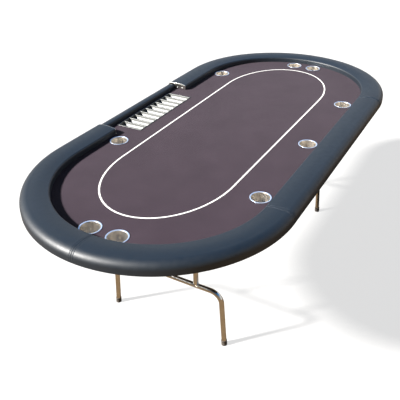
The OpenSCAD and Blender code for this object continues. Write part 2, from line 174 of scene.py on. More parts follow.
def capsule(start, end, radius, flat=1.0, up=(0, 0, 1), sides=8):
    """(verts, faces) of a round-ended bar from start to end; flat squeezes it along up."""
    start, end = Vector(start), Vector(end)
    along = (end - start).normalized()
    side = along.cross(Vector(up)).normalized()
    top = side.cross(along).normalized()
    rings = [(start, -0.9, 0.42), (start, -0.5, 0.85), (start, 0.1, 1.0),
             (end, -0.1, 1.0), (end, 0.5, 0.85), (end, 0.9, 0.42)]
    verts = []
    for base, shift, scale in rings:
        c = base + along * (shift * radius)
        for k in range(sides):
            a = 2 * math.pi * k / sides
            verts.append(tuple(c + side * (radius * scale * math.cos(a))
                               + top * (radius * scale * flat * math.sin(a))))
    faces = grid_faces(len(rings), sides, closed_cols=True)
    faces.append(list(range(sides)))
    faces.append([(len(rings) - 1) * sides + k for k in range(sides)])
    return verts, faces


def islands(node):
    """(lowest corner, highest corner) of each separate solid of a CAD node."""
    mesh = frame["nodes"][node].data
    points = np.array([v.co for v in mesh.vertices])
    keys = {}
    label = [keys.setdefault(tuple(np.round(p, 5)), len(keys)) for p in points]
    parent = list(range(len(keys)))

    def find(i):
        while parent[i] != i:
            parent[i] = parent[parent[i]]
            i = parent[i]
        return i

    for e in mesh.edges:
        a, b = find(label[e.vertices[0]]), find(label[e.vertices[1]])
        parent[max(a, b)] = min(a, b)
    groups = {}
    for i, p in enumerate(points):
        groups.setdefault(find(label[i]), []).append(p)
    return [(np.min(g, axis=0), np.max(g, axis=0)) for _, g in sorted(groups.items())]


def finish_piece(obj, body, slot_name, *nodes):
    """What every piece needs: its body, and the CAD nodes it stands for, which it hides. The slot name is not
    used.
    """
    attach(obj, body)
    if nodes:
        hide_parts(*nodes)
    return obj


# ---------- materials ----------

class Paint:
    """A node material with a principled shader and short ways to add nodes to it."""

    def __init__(self, name, **sockets):
        self.mat = bpy.data.materials.new(name)
        self.mat.use_nodes = True
        self.tree = self.mat.node_tree
        self.shader = self.tree.nodes["Principled BSDF"]
        for key, value in sockets.items():
            self.shader.inputs[key.replace("_", " ")].default_value = value
        self.coord = self.tree.nodes.new("ShaderNodeTexCoord").outputs["Object"]
        self.height = None

    def node(self, kind, inputs=None, **settings):
        made = self.tree.nodes.new(kind)
        for key, value in settings.items():
            setattr(made, key, value)
        for key, value in (inputs or {}).items():
            self.feed(made.inputs[key], value)
        return made

    def feed(self, socket, value):
        if isinstance(value, bpy.types.NodeSocket):
            self.tree.links.new(value, socket)
        else:
            socket.default_value = value

    def stretched(self, x, y, z):
        """The object's own coordinates, scaled along each axis."""
        return self.node("ShaderNodeMapping", {"Vector": self.coord, "Scale": (x, y, z)}).outputs["Vector"]

    def noise(self, scale, detail=3.0, rough=0.55, vector=None):
        made = self.node("ShaderNodeTexNoise", {"Vector": vector or self.coord, "Scale": scale,
                                                "Detail": detail, "Roughness": rough})
        return made.outputs["Fac"]

    def cells(self, scale, feature="F1", vector=None):
        made = self.node("ShaderNodeTexVoronoi", {"Vector": vector or self.coord, "Scale": scale},
                         feature=feature)
        return made.outputs["Distance"]

    def bands(self, scale, direction, distortion=0.0, vector=None):
        made = self.node("ShaderNodeTexWave", {"Vector": vector or self.coord, "Scale": scale,
                                               "Distortion": distortion, "Detail Scale": 2.0},
                         bands_direction=direction)
        return made.outputs["Fac"]

    def spread(self, value, low, high, start=0.0, end=1.0):
        made = self.node("ShaderNodeMapRange", {"Value": value, "From Min": start, "From Max": end,
                                                "To Min": low, "To Max": high})
        return made.outputs["Result"]

    def math(self, how, a, b):
        return self.node("ShaderNodeMath", {0: a, 1: b}, operation=how).outputs["Value"]

    def colour(self, value, *stops):
        """Base colour from a value, through (place, (r, g, b)) stops."""
        ramp = self.node("ShaderNodeValToRGB", {"Fac": value})
        elements = ramp.color_ramp.elements
        while len(elements) < len(stops):
            elements.new(0.5)
        for element, (place, rgb) in zip(elements, stops):
            element.position = place
            element.color = (*rgb, 1.0)
        self.feed(self.shader.inputs["Base Color"], ramp.outputs["Color"])
        return ramp.outputs["Color"]

    def rough(self, value, low, high, start=0.3, end=0.7):
        self.feed(self.shader.inputs["Roughness"], self.spread(value, low, high, start, end))

    def bump(self, value, distance, strength=1.0):
        """Adds relief of the given height in metres on top of the relief that is there."""
        inputs = {"Height": value, "Distance": distance, "Strength": strength}
        if self.height:
            inputs["Normal"] = self.height
        self.height = self.node("ShaderNodeBump", inputs).outputs["Normal"]
        self.feed(self.shader.inputs["Normal"], self.height)


def leatherette():
    p = Paint("leatherette", Specular_IOR_Level=0.66, Sheen_Weight=0.03, Sheen_Roughness=0.35)
    patches = p.noise(5.0, 4.0)
    p.colour(patches, (0.3, (0.0018, 0.0062, 0.0115)), (0.7, (0.0030, 0.0080, 0.0145)))
    p.rough(p.noise(45.0, 5.0), 0.48, 0.56)
    pebble = p.cells(820.0, "SMOOTH_F1")
    p.bump(pebble, 0.00012, 0.55)
    p.bump(p.noise(2200.0, 2.0), 0.00003, 0.4)
    p.bump(p.noise(38.0, 3.0), 0.0006, 0.35)
    return p.mat


def speed_cloth():
    p = Paint("speed_cloth", Specular_IOR_Level=0.15, Sheen_Weight=0.05, Sheen_Roughness=0.45)
    threads = p.math("ADD", p.bands(420.0, "X"), p.bands(420.0, "Y"))
    fleck = p.noise(900.0, 4.0, 0.7)
    cloudy = p.noise(7.0, 5.0, 0.6)
    mixed = p.math("ADD", p.math("MULTIPLY", fleck, 0.62), p.math("MULTIPLY", cloudy, 0.38))
    p.colour(mixed, (0.32, (0.026, 0.0165, 0.025)), (0.5, (0.035, 0.0232, 0.0338)),
             (0.68, (0.046, 0.031, 0.044)))
    p.rough(fleck, 0.78, 0.9)
    p.bump(threads, 0.00009, 0.7)
    p.bump(fleck, 0.00012, 0.5)
    return p.mat


def line_print():
    p = Paint("betting_line_print", Specular_IOR_Level=0.3)
    fleck = p.noise(1100.0, 3.0)
    p.colour(fleck, (0.25, (0.70, 0.69, 0.69)), (0.6, (0.86, 0.86, 0.855)))
    p.rough(fleck, 0.55, 0.7)
    p.bump(p.math("ADD", p.bands(420.0, "X"), p.bands(420.0, "Y")), 0.00007, 0.6)
    return p.mat


def chrome_tube():
    p = Paint("chrome_tube", Metallic=1.0)
    haze = p.noise(30.0, 4.0)
    p.colour(haze, (0.3, (0.66, 0.62, 0.57)), (0.7, (0.76, 0.72, 0.67)))
    p.rough(p.noise(160.0, 4.0, vector=p.stretched(1.0, 1.0, 0.15)), 0.07, 0.15)
    p.bump(p.noise(260.0, 3.0), 0.00004, 0.25)
    return p.mat


def spun_steel(name, inside, rim, low, high):
    """Stainless steel with fine turned lines round a vertical axis, and a rim above the cloth coloured as a
    painted bluish-white highlight (a painted sky reflection), where the steel is also made less metallic.
    """
    p = Paint(name)
    lines = p.noise(1.0, 2.0, vector=p.stretched(40.0, 40.0, 2600.0))
    smear = p.noise(70.0, 3.0)
    height = p.node("ShaderNodeSeparateXYZ", {"Vector": p.coord}).outputs["Z"]
    # up marks the rim above the cloth: there the colour goes to the rim colour, a painted bluish-white
    # highlight standing for the sky's reflection, and the metallic drops to 0.7
    up = p.spread(height, 0.0, 1.0, CLOTH_Z - 0.2 * MM, CLOTH_Z + 1.0 * MM)
    smear_and_painted_rim_highlight = p.math("ADD", p.math("MULTIPLY", smear, 0.45), p.math("MULTIPLY", up, 0.55))
    dark = tuple(0.86 * c for c in inside)
    # the dark and inside stops vary at random with the smear; the rim stop is the painted highlight above the
    # cloth
    p.colour(smear_and_painted_rim_highlight, (0.13, dark), (0.31, inside), (0.7, rim))
    p.feed(p.shader.inputs["Metallic"], p.spread(up, 1.0, 0.7))
    p.rough(p.math("ADD", p.math("MULTIPLY", lines, 0.5), p.math("MULTIPLY", smear, 0.5)), low, high)
    p.bump(lines, 0.00001, 0.12)
    return p.mat


def tray_metal():
    p = Paint("tray_aluminium", Metallic=0.3, Specular_IOR_Level=0.5)
    lines = p.noise(1.0, 3.0, vector=p.stretched(1500.0, 22.0, 1500.0))
    smear = p.noise(18.0, 3.0)
    p.colour(smear, (0.3, (0.132, 0.136, 0.132)), (0.7, (0.152, 0.156, 0.152)))
    p.rough(lines, 0.42, 0.5)
    p.bump(lines, 0.00002, 0.2)
    return p.mat


def cap_metal():
    p = Paint("end_cap_metal", Metallic=1.0)
    lines = p.noise(1.0, 3.0, vector=p.stretched(900.0, 30.0, 900.0))
    p.colour(p.noise(60.0), (0.3, (0.48, 0.46, 0.41)), (0.7, (0.58, 0.56, 0.51)))
    p.rough(lines, 0.22, 0.36)
    p.bump(lines, 0.00003, 0.3)
    return p.mat


def zinc(name, base, low=0.3, high=0.48):
    """Zinc-plated steel with a faint spangle and a few dull patches."""
    p = Paint(name, Metallic=1.0)
    spangle = p.cells(260.0)
    worn = p.noise(90.0, 5.0, 0.65)
    dark = tuple(0.72 * c for c in base)
    p.colour(p.math("ADD", p.math("MULTIPLY", spangle, 0.4), p.math("MULTIPLY", worn, 0.7)),
             (0.3, dark), (0.75, base))
    p.rough(worn, low, high)
    p.bump(worn, 0.00006, 0.3)
    return p.mat


def board_wood():
    """Particle board with a thin black stain that leaves its fibres visible."""
    p = Paint("board_wood", Specular_IOR_Level=0.3)
    fibres = p.noise(1.0, 6.0, 0.7, vector=p.stretched(55.0, 420.0, 420.0))
    specks = p.cells(520.0)
    mixed = p.math("ADD", p.math("MULTIPLY", fibres, 0.75), p.math("MULTIPLY", specks, 0.35))
    p.colour(mixed, (0.25, (0.006, 0.0055, 0.005)), (0.55, (0.012, 0.0105, 0.009)),
             (0.8, (0.026, 0.022, 0.018)))
    p.rough(fibres, 0.55, 0.75)
    p.bump(fibres, 0.00015, 0.4)
    return p.mat


def foam():
    p = Paint("foam", Specular_IOR_Level=0.15)
    pores = p.cells(700.0)
    p.colour(pores, (0.1, (0.42, 0.37, 0.22)), (0.7, (0.74, 0.68, 0.48)))
    p.rough(pores, 0.85, 0.95)
    p.bump(pores, 0.0004, 0.7)
    return p.mat


def glide_rubber():
    p = Paint("glide_rubber", Specular_IOR_Level=0.35)
    scuff = p.noise(120.0, 5.0, 0.65)
    p.colour(scuff, (0.3, (0.045, 0.038, 0.033)), (0.72, (0.085, 0.073, 0.062)))
    p.rough(scuff, 0.55, 0.75)
    p.bump(scuff, 0.00012, 0.4)
    return p.mat


def thread():
    p = Paint("seam_thread", Specular_IOR_Level=0.4)
    twist = p.bands(700.0, "DIAGONAL", 1.0)
    p.colour(twist, (0.2, (0.012, 0.018, 0.028)), (0.8, (0.05, 0.065, 0.085)))
    p.rough(twist, 0.45, 0.6)
    p.bump(twist, 0.00015, 0.6)
    return p.mat


def floor_paint():
    """Pale floor, whose bounce on the table is that of a tan floor in the sun."""
    p = Paint("floor", Specular_IOR_Level=0.1, Emission_Color=(1.0, 1.0, 1.0, 1.0), Emission_Strength=0.70)
    p.colour(p.noise(1.3, 3.0), (0.3, (0.20, 0.20, 0.20)), (0.7, (0.22, 0.22, 0.22)))
    p.rough(p.noise(9.0), 0.75, 0.85)
    bounce = p.node("ShaderNodeBsdfDiffuse", {"Color": (0.16, 0.115, 0.07, 1.0)})
    seen = p.node("ShaderNodeLightPath").outputs["Is Camera Ray"]
    mix = p.node("ShaderNodeMixShader", {0: seen, 1: bounce.outputs["BSDF"], 2: p.shader.outputs["BSDF"]})
    p.feed(p.tree.nodes["Material Output"].inputs["Surface"], mix.outputs["Shader"])
    return p.mat


MATS = {
    "leatherette": leatherette(),
    "speed_cloth": speed_cloth(),
    "line_white": line_print(),
    "chrome_tube": chrome_tube(),
    # the rim colour (0.62, 0.72, 0.88) is a painted bluish-white sky reflection on the cup rims
    "cup_steel": spun_steel("cup_steel", (0.74, 0.69, 0.62), (0.62, 0.72, 0.88), 0.33, 0.43),
    "tray_aluminium": tray_metal(),
    "end_cap_metal": cap_metal(),
    "zinc_steel": zinc("zinc_steel", (0.68, 0.68, 0.69)),
    "bracket_steel": zinc("bracket_steel", (0.58, 0.585, 0.60)),
    "stay_steel": zinc("stay_steel", (0.66, 0.65, 0.64), 0.22, 0.4),
    "board_wood": board_wood(),
    "foam": foam(),
    "glide_rubber": glide_rubber(),
    "thread": thread(),
}


def paint_cad_nodes():
    """Every CAD node takes the finish of its slot in the record."""
    for row in frame["record"]["subparts"]:
        obj = frame["nodes"][row["node"]]
        mat = MATS[row["material_slot"]]
        if not obj.material_slots:
            obj.data.materials.append(mat)
        for s in obj.material_slots:
            s.material = mat


# ---------- padded rail ----------

def track(s):
    """Station at length s round the rail's middle line, from the start of the front straight.

    It gives the centre that the rail turns about there, and the direction outwards."""
    turn = 4 * QUARTER + 2 * STRAIGHT
    s = s % turn
    if s <= STRAIGHT:
        return (s - END_X, 0.0), (0.0, -1.0)
    s -= STRAIGHT
    if s <= 2 * QUARTER:
        a = s / MID_R - math.pi / 2
        return (END_X, 0.0), (math.cos(a), math.sin(a))
    s -= 2 * QUARTER
    if s <= STRAIGHT:
        return (END_X - s, 0.0), (0.0, 1.0)
    a = (s - STRAIGHT) / MID_R + math.pi / 2
    return (-END_X, 0.0), (math.cos(a), math.sin(a))


def place(s, r, z):
    """Point at radius r and height z on the rail's section at length s."""
    (cx, cy), (nx, ny) = track(s)
    return cx + nx * r, cy + ny * r, z


SEAMS = {
    "near_front": 0.0,
    "far_front": STRAIGHT,
    "far_end": STRAIGHT + QUARTER,
    "near_end": 2 * STRAIGHT + 3 * QUARTER,
}
REAR_RUN = END_X - GAP_HALF
STRETCHES = {
    "front": (0.0, STRAIGHT, True, True),
    "far_front": (STRAIGHT, STRAIGHT + QUARTER, True, True),
    "far_rear": (STRAIGHT + QUARTER, STRAIGHT + 2 * QUARTER + REAR_RUN, True, False),
    "near_rear": (2 * STRAIGHT + 2 * QUARTER - REAR_RUN, 2 * STRAIGHT + 3 * QUARTER, False, True),
    "near_front": (2 * STRAIGHT + 3 * QUARTER, 2 * STRAIGHT + 4 * QUARTER, True, True),
}
GAP_START = STRAIGHT + 2 * QUARTER + REAR_RUN
STITCH_ROW = 7 * MM


class Section:
    """Closed section of a padded rail: points of (radius, height), and how much of each one shows."""

    def __init__(self, inner, top, inner_r, outer_rx, outer_ry, slope, crown):
        outer = HALF_W
        foot_r = 3 * MM
        low_top = top - slope
        shown = [(inner, CLOTH_Z)]
        shown += line((inner, CLOTH_Z), (inner, low_top - inner_r), 5)
        shown += arc(inner + inner_r, low_top - inner_r, inner_r, inner_r, 180, 90, 9)
        start, end = inner + inner_r, outer - outer_rx
        for i in range(1, 18):
            t = i / 18
            rise = slope * math.sin(t * math.pi / 2) + crown * math.sin(t * math.pi)
            shown.append((start + (end - start) * t, low_top + rise))
        shown += arc(end, top - outer_ry, outer_rx, outer_ry, 90, 0, 20)
        shown += line((outer, top - outer_ry), (outer, TUCK_Z + foot_r), 4)
        shown += arc(outer - foot_r, TUCK_Z + foot_r, foot_r, foot_r, 0, -90, 5)
        shown += line((outer - foot_r, TUCK_Z), (outer - TUCK_W, TUCK_Z), 6)
        hidden = [(outer - TUCK_W, TUCK_Z), (outer - TUCK_W, BOARD_Z), (BOARD_R, BOARD_Z),
                  (BOARD_R, CLOTH_Z)]
        self.points = shown + hidden
        self.shown = len(shown)
        self.normals = []
        for i in range(len(shown)):
            a, b = shown[max(i - 1, 0)], shown[min(i + 1, len(shown) - 1)]
            dr, dz = b[0] - a[0], b[1] - a[1]
            size = math.hypot(dr, dz) or 1.0
            self.normals.append((-dz / size, dr / size))
        self.normals += [(0.0, 0.0)] * len(hidden)
        steps = [math.dist(shown[i], shown[i + 1]) for i in range(len(shown) - 1)]
        self.lengths = np.concatenate([[0.0], np.cumsum(steps)])

    def at(self, length):
        """Point and normal at a length along the shown part."""
        i = int(np.searchsorted(self.lengths, length, "right")) - 1
        i = min(max(i, 0), self.shown - 2)
        t = (length - self.lengths[i]) / (self.lengths[i + 1] - self.lengths[i])
        (r0, z0), (r1, z1) = self.points[i], self.points[i + 1]
        (a0, b0), (a1, b1) = self.normals[i], self.normals[i + 1]
        return (r0 + (r1 - r0) * t, z0 + (z1 - z0) * t), (a0 + (a1 - a0) * t, b0 + (b1 - b0) * t)


FULL = Section(RAIL_IN, RAIL_TOP, 8 * MM, 34 * MM, 29 * MM, 4.2 * MM, 1.8 * MM)
LOW = Section(DEALER_IN, DEALER_TOP, 8 * MM, 25 * MM, 22 * MM, 0.6 * MM, 0.4 * MM)


def seam_dip(e):
    """Height of the cover at a distance e from a seam: the fold of the seam, the puffed strip beside
    it, and the groove that the top stitching pulls."""
    fold = -0.75 * math.exp(-((e / (1.3 * MM)) ** 2))
    puff = 0.3 * math.exp(-(((e - 3.8 * MM) / (1.8 * MM)) ** 2))
    groove = -0.5 * math.exp(-(((e - STITCH_ROW) / (1.2 * MM)) ** 2))
    beyond = 0.15 * math.exp(-(((e - 12 * MM) / (4.5 * MM)) ** 2))
    return (fold + puff + groove + beyond) * MM


def foam_feel(x, y, z, share):
    """Slight unevenness of stretched foam and leatherette; share runs from the inner edge to the foot."""
    soft = noise.noise(Vector((x * 3.1, y * 3.1, z * 9.0))) * 0.9
    soft += noise.noise(Vector((x * 9.0, y * 9.0, z * 20.0 + 4.0))) * 0.35
    return soft * 0.6 * MM * (0.35 + 0.65 * math.sin(math.pi * min(share * 1.15, 1.0)))


def pucker(s, share, bend):
    """Small gathers at the foot and at the inner edge, where the cover is pulled round the curved ends."""
    low = max(0.0, (share - 0.78) / 0.22) ** 1.5
    inner = max(0.0, (0.12 - share) / 0.12)
    wave = math.sin(s / (5.3 * MM)) * 0.6 + math.sin(s / (3.4 * MM) + 1.3) * 0.4
    return wave * 0.32 * MM * (low + 0.5 * inner) * bend


def spacing(s0, s1, seam0, seam1):
    """Lengths of the stations: close together beside a seam, about 13 mm apart elsewhere."""
    near = [0.0, 0.6, 1.2, 1.9, 2.8, 3.8, 4.9, 5.8, 6.5, 7.0, 7.5, 8.2, 9.4, 11.5, 14.0, 18.0, 24.0]
    start = [s0 + e * MM for e in near] if seam0 else [s0, s0 + 4 * MM]
    stop = [s1 - e * MM for e in reversed(near)] if seam1 else [s1 - 4 * MM, s1]
    steps = max(2, int((stop[0] - start[-1]) / (9 * MM)))
    middle = [start[-1] + (stop[0] - start[-1]) * i / steps for i in range(1, steps)]
    return start + middle + stop


def padded_stretch(name, section, s0, s1, seam0, seam1):
    """One padded and covered stretch of rail, as a closed form."""
    stations = spacing(s0, s1, seam0, seam1)
    verts = []
    total = section.lengths[-1]
    for s in stations:
        _, (nx, _) = track(s)
        bend = min(1.0, abs(nx) * 6.0)
        for k, ((r, z), (nr, nz)) in enumerate(zip(section.points, section.normals)):
            if k < section.shown:
                share = section.lengths[k] / total
                x, y, _ = place(s, r, z)
                d = foam_feel(x, y, z, share) * min(1.0, (s - s0 + s1 - s) / (50 * MM))
                d += pucker(s, share, bend)
                d += seam_dip(s - s0) if seam0 else 0.0
                d += seam_dip(s1 - s) if seam1 else 0.0
                if k == 0:
                    d = min(d, 0.0)
                r, z = r + nr * d, max(z + nz * d, TUCK_Z - 0.6 * MM)
            verts.append(place(s, r, z))
    cols = len(section.points)
    faces = grid_faces(len(stations), cols, closed_cols=True)
    faces.append(list(range(cols)))
    faces.append([(len(stations) - 1) * cols + k for k in range(cols)])
    return mesh_object(name, verts, faces, MATS["leatherette"], 50.0)


def make_rail():
    for stretch, (s0, s1, seam0, seam1) in STRETCHES.items():
        obj = padded_stretch("rail_leather_" + stretch, FULL, s0, s1, seam0, seam1)
        finish_piece(obj, BODY, "leatherette", "rail_cover_" + stretch, "rail_pad_" + stretch)
    obj = padded_stretch("rail_leather_dealer", LOW, GAP_START, GAP_START + 2 * GAP_HALF, False, False)
    finish_piece(obj, BODY, "leatherette", "dealer_rail_cover", "dealer_rail_pad")


def make_stitches():
    """Two rows of top stitching beside each seam."""
    pitch, stitch, radius = 4.6 * MM, 3.3 * MM, 0.5 * MM
    last = FULL.lengths[-1] - 30 * MM
    for seam, s in SEAMS.items():
        parts = Parts()
        for side in (-1, 1):
            at = 4 * MM
            while at < last:
                ends = []
                for length in (at, at + stitch):
                    (r, z), (nr, nz) = FULL.at(length)
                    d = seam_dip(STITCH_ROW) + 0.25 * MM
                    ends.append(place(s + side * STITCH_ROW, r + nr * d, z + nz * d))
                (_, _), (nr, nz) = FULL.at(at)
                up = Vector(place(s + side * STITCH_ROW, nr, nz)) - Vector(place(s + side * STITCH_ROW, 0, 0))
                parts.add(*capsule(ends[0], ends[1], radius, 0.8, up))
                at += pitch
        finish_piece(parts.make("stitching_" + seam, MATS["thread"]), BODY, "leatherette")


def cap_outline():
    """Outline of a rail end above the cloth, with the low rail's shape left out."""
    top = [p for p in FULL.points[:FULL.shown] if p[1] >= CLOTH_Z - 1e-6 and p[0] <= HALF_W]
    over = [p for p in reversed(LOW.points[:LOW.shown])
            if p[1] >= CLOTH_Z - 1e-6 and p[0] >= DEALER_IN]
    limit = DEALER_TOP
    top = [p for p in top if not (p[0] > HALF_W - 20 * MM and p[1] < limit)]
    over = [(r, z + 0.5 * MM) for r, z in over if r < top[-1][0]]
    return top + over


def inset(points, d):
    """The closed outline pulled in by d."""
    out = []
    n = len(points)
    area = sum(points[i][0] * points[(i + 1) % n][1] - points[(i + 1) % n][0] * points[i][1]
               for i in range(n))
    sign = 1.0 if area > 0 else -1.0
    for i in range(n):
        a, b = points[i - 1], points[(i + 1) % n]
        dr, dz = b[0] - a[0], b[1] - a[1]
        size = math.hypot(dr, dz) or 1.0
        out.append((points[i][0] - sign * dz / size * d, points[i][1] + sign * dr / size * d))
    return out


def make_end_caps():
    """Metal caps on the two rail ends, with a rounded front edge."""
    outline = cap_outline()
    for end in ENDS:
        low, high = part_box(end + "_rail_end_cap")
        side = 1.0 if end == "far" else -1.0
        back = high[0] if end == "far" else low[0]
        front = low[0] if end == "far" else high[0]
        edge = 2.2 * MM
        skin = 0.9 * MM
        rings = [(back, skin)]
        for a in (0, 22, 45, 68, 90):
            t = math.radians(a)
            rings.append((front + side * edge * (1 - math.sin(t)), skin + edge * (1 - math.cos(t))))
        verts = [(x, r, z) for x, d in rings for r, z in inset(outline, d)]
        n = len(outline)
        faces = grid_faces(len(rings), n, closed_cols=True)
        faces.append(list(range(n)))
        faces.append([(len(rings) - 1) * n + k for k in range(n)])
        obj = mesh_object("rail_end_cap_metal_" + end, verts, faces, MATS["end_cap_metal"], 50.0)
        finish_piece(obj, BODY, "end_cap_metal", end + "_rail_end_cap")


def make_staples():
    """Staples that hold the cover's edge under the board."""
    parts = Parts()
    r0 = HALF_W - TUCK_W + 9 * MM
    half = 5 * MM
    turn = 4 * QUARTER + 2 * STRAIGHT
    count = int(turn / (34 * MM))
    for i in range(count):
        s = turn * i / count
        z = TUCK_Z - 0.25 * MM
        slant = 2.2 * MM * noise.noise(Vector((i * 1.7, 0.3, 0.0)))
        parts.add(*capsule(place(s - half, r0 - slant, z), place(s + half, r0 + slant, z), 0.6 * MM, 0.7))
    finish_piece(parts.make("cover_staples", MATS["zinc_steel"]), BODY, "zinc_steel")


# ---------- cloth ----------

CLOTH_STEP = 14 * MM
CLOTH_MARGIN = 6 * MM
CUP_CLEAR = 17 * MM


def cloth_cuts():
    """The nine cup holes' centres, their radius, and the tray's cut-out as (x0, x1, y0, y1)."""
    cups = [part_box(f"cup_holder_{i}") for i in range(1, 10)]
    centres = [((lo[0] + hi[0]) / 2, (lo[1] + hi[1]) / 2) for lo, hi in cups]
    hole_r = (cups[0][1][0] - cups[0][0][0]) / 2 - 3.7 * MM
    tray = (TRAY_LOW[0] + 3.5 * MM, TRAY_HIGH[0] - 3.5 * MM, TRAY_LOW[1] + 5 * MM, TRAY_HIGH[1] - 2 * MM)
    return centres, hole_r, tray


def on_cloth(x, y, cuts, margin, reach):
    """True inside the outline and outside the tray's cut-out by margin, and beyond reach of every hole."""
    centres, _, (x0, x1, y0, y1) = cuts
    if math.hypot(max(abs(x) - END_X, 0.0), y) > BOARD_R - margin:
        return False
    if x0 - margin < x < x1 + margin and y0 - margin < y < y1 + margin:
        return False
    return all(math.hypot(x - cx, y - cy) > reach for cx, cy in centres)


def circle(centre, radius, count):
    turns = [2 * math.pi * k / count for k in range(count)]
    return [(centre[0] + radius * math.cos(a), centre[1] + radius * math.sin(a)) for a in turns]


def cloth_rings(cuts):
    """Closed rings of points: the outline, the cup holes and the tray's cut-out."""
    centres, hole_r, (x0, x1, y0, y1) = cuts
    outer = [(-END_X + STRAIGHT * i / 41, -BOARD_R) for i in range(41)]
    for a in (math.pi * i / 72 - math.pi / 2 for i in range(72)):
        outer.append((END_X + BOARD_R * math.cos(a), BOARD_R * math.sin(a)))
    outer += [(-x, -y) for x, y in outer]
    nx, ny = 32, 9
    tray = [(x0 + (x1 - x0) * i / nx, y0) for i in range(nx)]
    tray += [(x1, y0 + (y1 - y0) * i / ny) for i in range(ny)]
    tray += [(x1 - (x1 - x0) * i / nx, y1) for i in range(nx)]
    tray += [(x0, y1 - (y1 - y0) * i / ny) for i in range(ny)]
    return [outer] + [circle(c, hole_r, 48) for c in centres] + [tray]


def cloth_fill(cuts):
    """Loose points: two rings round each hole, then a staggered grid."""
    centres, hole_r, _ = cuts
    points = []
    for centre in centres:
        points += circle(centre, hole_r + 7 * MM, 40) + circle(centre, hole_r + 13 * MM, 44)
    cols, rows = int(2 * (END_X + BOARD_R) / CLOTH_STEP), int(2 * BOARD_R / CLOTH_STEP)
    for i in range(cols + 1):
        for j in range(rows + 1):
            x = -END_X - BOARD_R + CLOTH_STEP * i + (0.5 * CLOTH_STEP if j % 2 else 0.0)
            y = -BOARD_R + CLOTH_STEP * j
            near_cup = any(math.hypot(x - cx, y - cy) < hole_r + CUP_CLEAR for cx, cy in centres)
            if on_cloth(x, y, cuts, CLOTH_MARGIN, hole_r + CLOTH_MARGIN) and not near_cup:
                points.append((x, y))
    return points


def cloth_height(x, y, cuts):
    """Height of the cloth, pressed down a little round each cup."""
    centres, hole_r, _ = cuts
    z = CLOTH_Z - 0.2 * MM + 0.12 * MM * noise.noise(Vector((x * 5, y * 5, 0.0)))
    for cx, cy in centres:
        gap = math.hypot(x - cx, y - cy) - hole_r
        if gap < 20 * MM:
            z -= 0.35 * MM * math.exp(-((gap / (7 * MM)) ** 2))
    return z


def cloth_triangles(cuts):
    """Points and triangles of the flat cloth with its holes left open."""
    _, hole_r, _ = cuts
    points, edges = [], []
    for ring in cloth_rings(cuts):
        base = len(points)
        points.extend(ring)
        edges.extend([(base + i, base + (i + 1) % len(ring)) for i in range(len(ring))])
    points.extend(cloth_fill(cuts))
    made = geometry.delaunay_2d_cdt([Vector(p) for p in points], edges, [], 0, 1e-6)
    flat = made[0]
    tris = []
    for tri in made[2]:
        x = sum(flat[i][0] for i in tri) / 3
        y = sum(flat[i][1] for i in tri) / 3
        if on_cloth(x, y, cuts, 0.0, hole_r * 0.9995):
            tris.append(list(tri))
    return flat, tris


def make_cloth():
    """The playing cloth, pulled flat over the foam and pressed down under the cups' rims."""
    cuts = cloth_cuts()
    flat, tris = cloth_triangles(cuts)
    n = len(flat)
    verts = [(p[0], p[1], cloth_height(p[0], p[1], cuts)) for p in flat]
    verts += [(p[0], p[1], CLOTH_Z - CLOTH_T) for p in flat]
    count = {}
    for t in tris:
        for a, b in ((t[0], t[1]), (t[1], t[2]), (t[2], t[0])):
            count[(a, b)] = count.get((a, b), 0) + 1
    border = [e for e in count if (e[1], e[0]) not in count]
    faces = tris + [[i + n for i in reversed(t)] for t in tris] + [[b, a, a + n, b + n] for a, b in border]
    used = sorted({i for f in faces for i in f})
    renum = {old: new for new, old in enumerate(used)}
    obj = mesh_object("playing_cloth", [verts[i] for i in used], [[renum[i] for i in f] for f in faces],
                      MATS["speed_cloth"])
    finish_piece(obj, BODY, "speed_cloth", "speed_cloth")


# ---------- cup holders and tray ----------

def make_cups():
    """Spun cup holders with a rolled rim and a rounded base."""
    for i in range(1, 10):
        node = f"cup_holder_{i}"
        low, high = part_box(node)
        cx, cy = (low[0] + high[0]) / 2, (low[1] + high[1]) / 2
        rim = (high[0] - low[0]) / 2
        depth = CLOTH_Z - low[2]
        top, base, wall = rim - 4.5 * MM, rim - 8.5 * MM, 0.8 * MM
        p = [(0.0, -depth), (base - 4 * MM, -depth)]
        p += arc(base - 4 * MM, -depth + 4 * MM, 4 * MM, 4 * MM, -75, 0, 5)
        p += [(top - 0.2 * MM, -1.2 * MM), (top, 0.05 * MM), (rim - 1.0 * MM, 0.05 * MM)]
        p += arc(rim - 0.75 * MM, 0.78 * MM, 0.75 * MM, 0.72 * MM, -70, 100, 8)
        p += [(rim - 1.9 * MM, 1.38 * MM), (rim - 3.0 * MM, 1.22 * MM)]
        p += arc(top + 0.6 * MM, -0.5 * MM, 1.5 * MM, 1.6 * MM, 90, 180, 6)
        p += [(top - wall - 0.3 * MM, -4 * MM), (top - wall - 1.1 * MM, -15 * MM),
              (top - wall - 2.2 * MM, -31 * MM), (top - wall - 3.2 * MM, -46 * MM)]
        p += arc(base - 4.2 * MM, -depth + 4.2 * MM, 3.4 * MM, 3.4 * MM, 0, -90, 6)
        p += [(0.62 * rim, -depth + wall), (0.60 * rim, -depth + 1.5 * MM), (0.36 * rim, -depth + 1.5 * MM),
              (0.34 * rim, -depth + wall), (0.1 * rim, -depth + wall), (0.0, -depth + wall)]
        verts, faces = lathe(p, (cx, cy, CLOTH_Z), 96)
        obj = mesh_object(f"cup_{i}_spun", verts, faces, MATS["cup_steel"], 40.0)
        finish_piece(obj, BODY, "cup_steel", node)


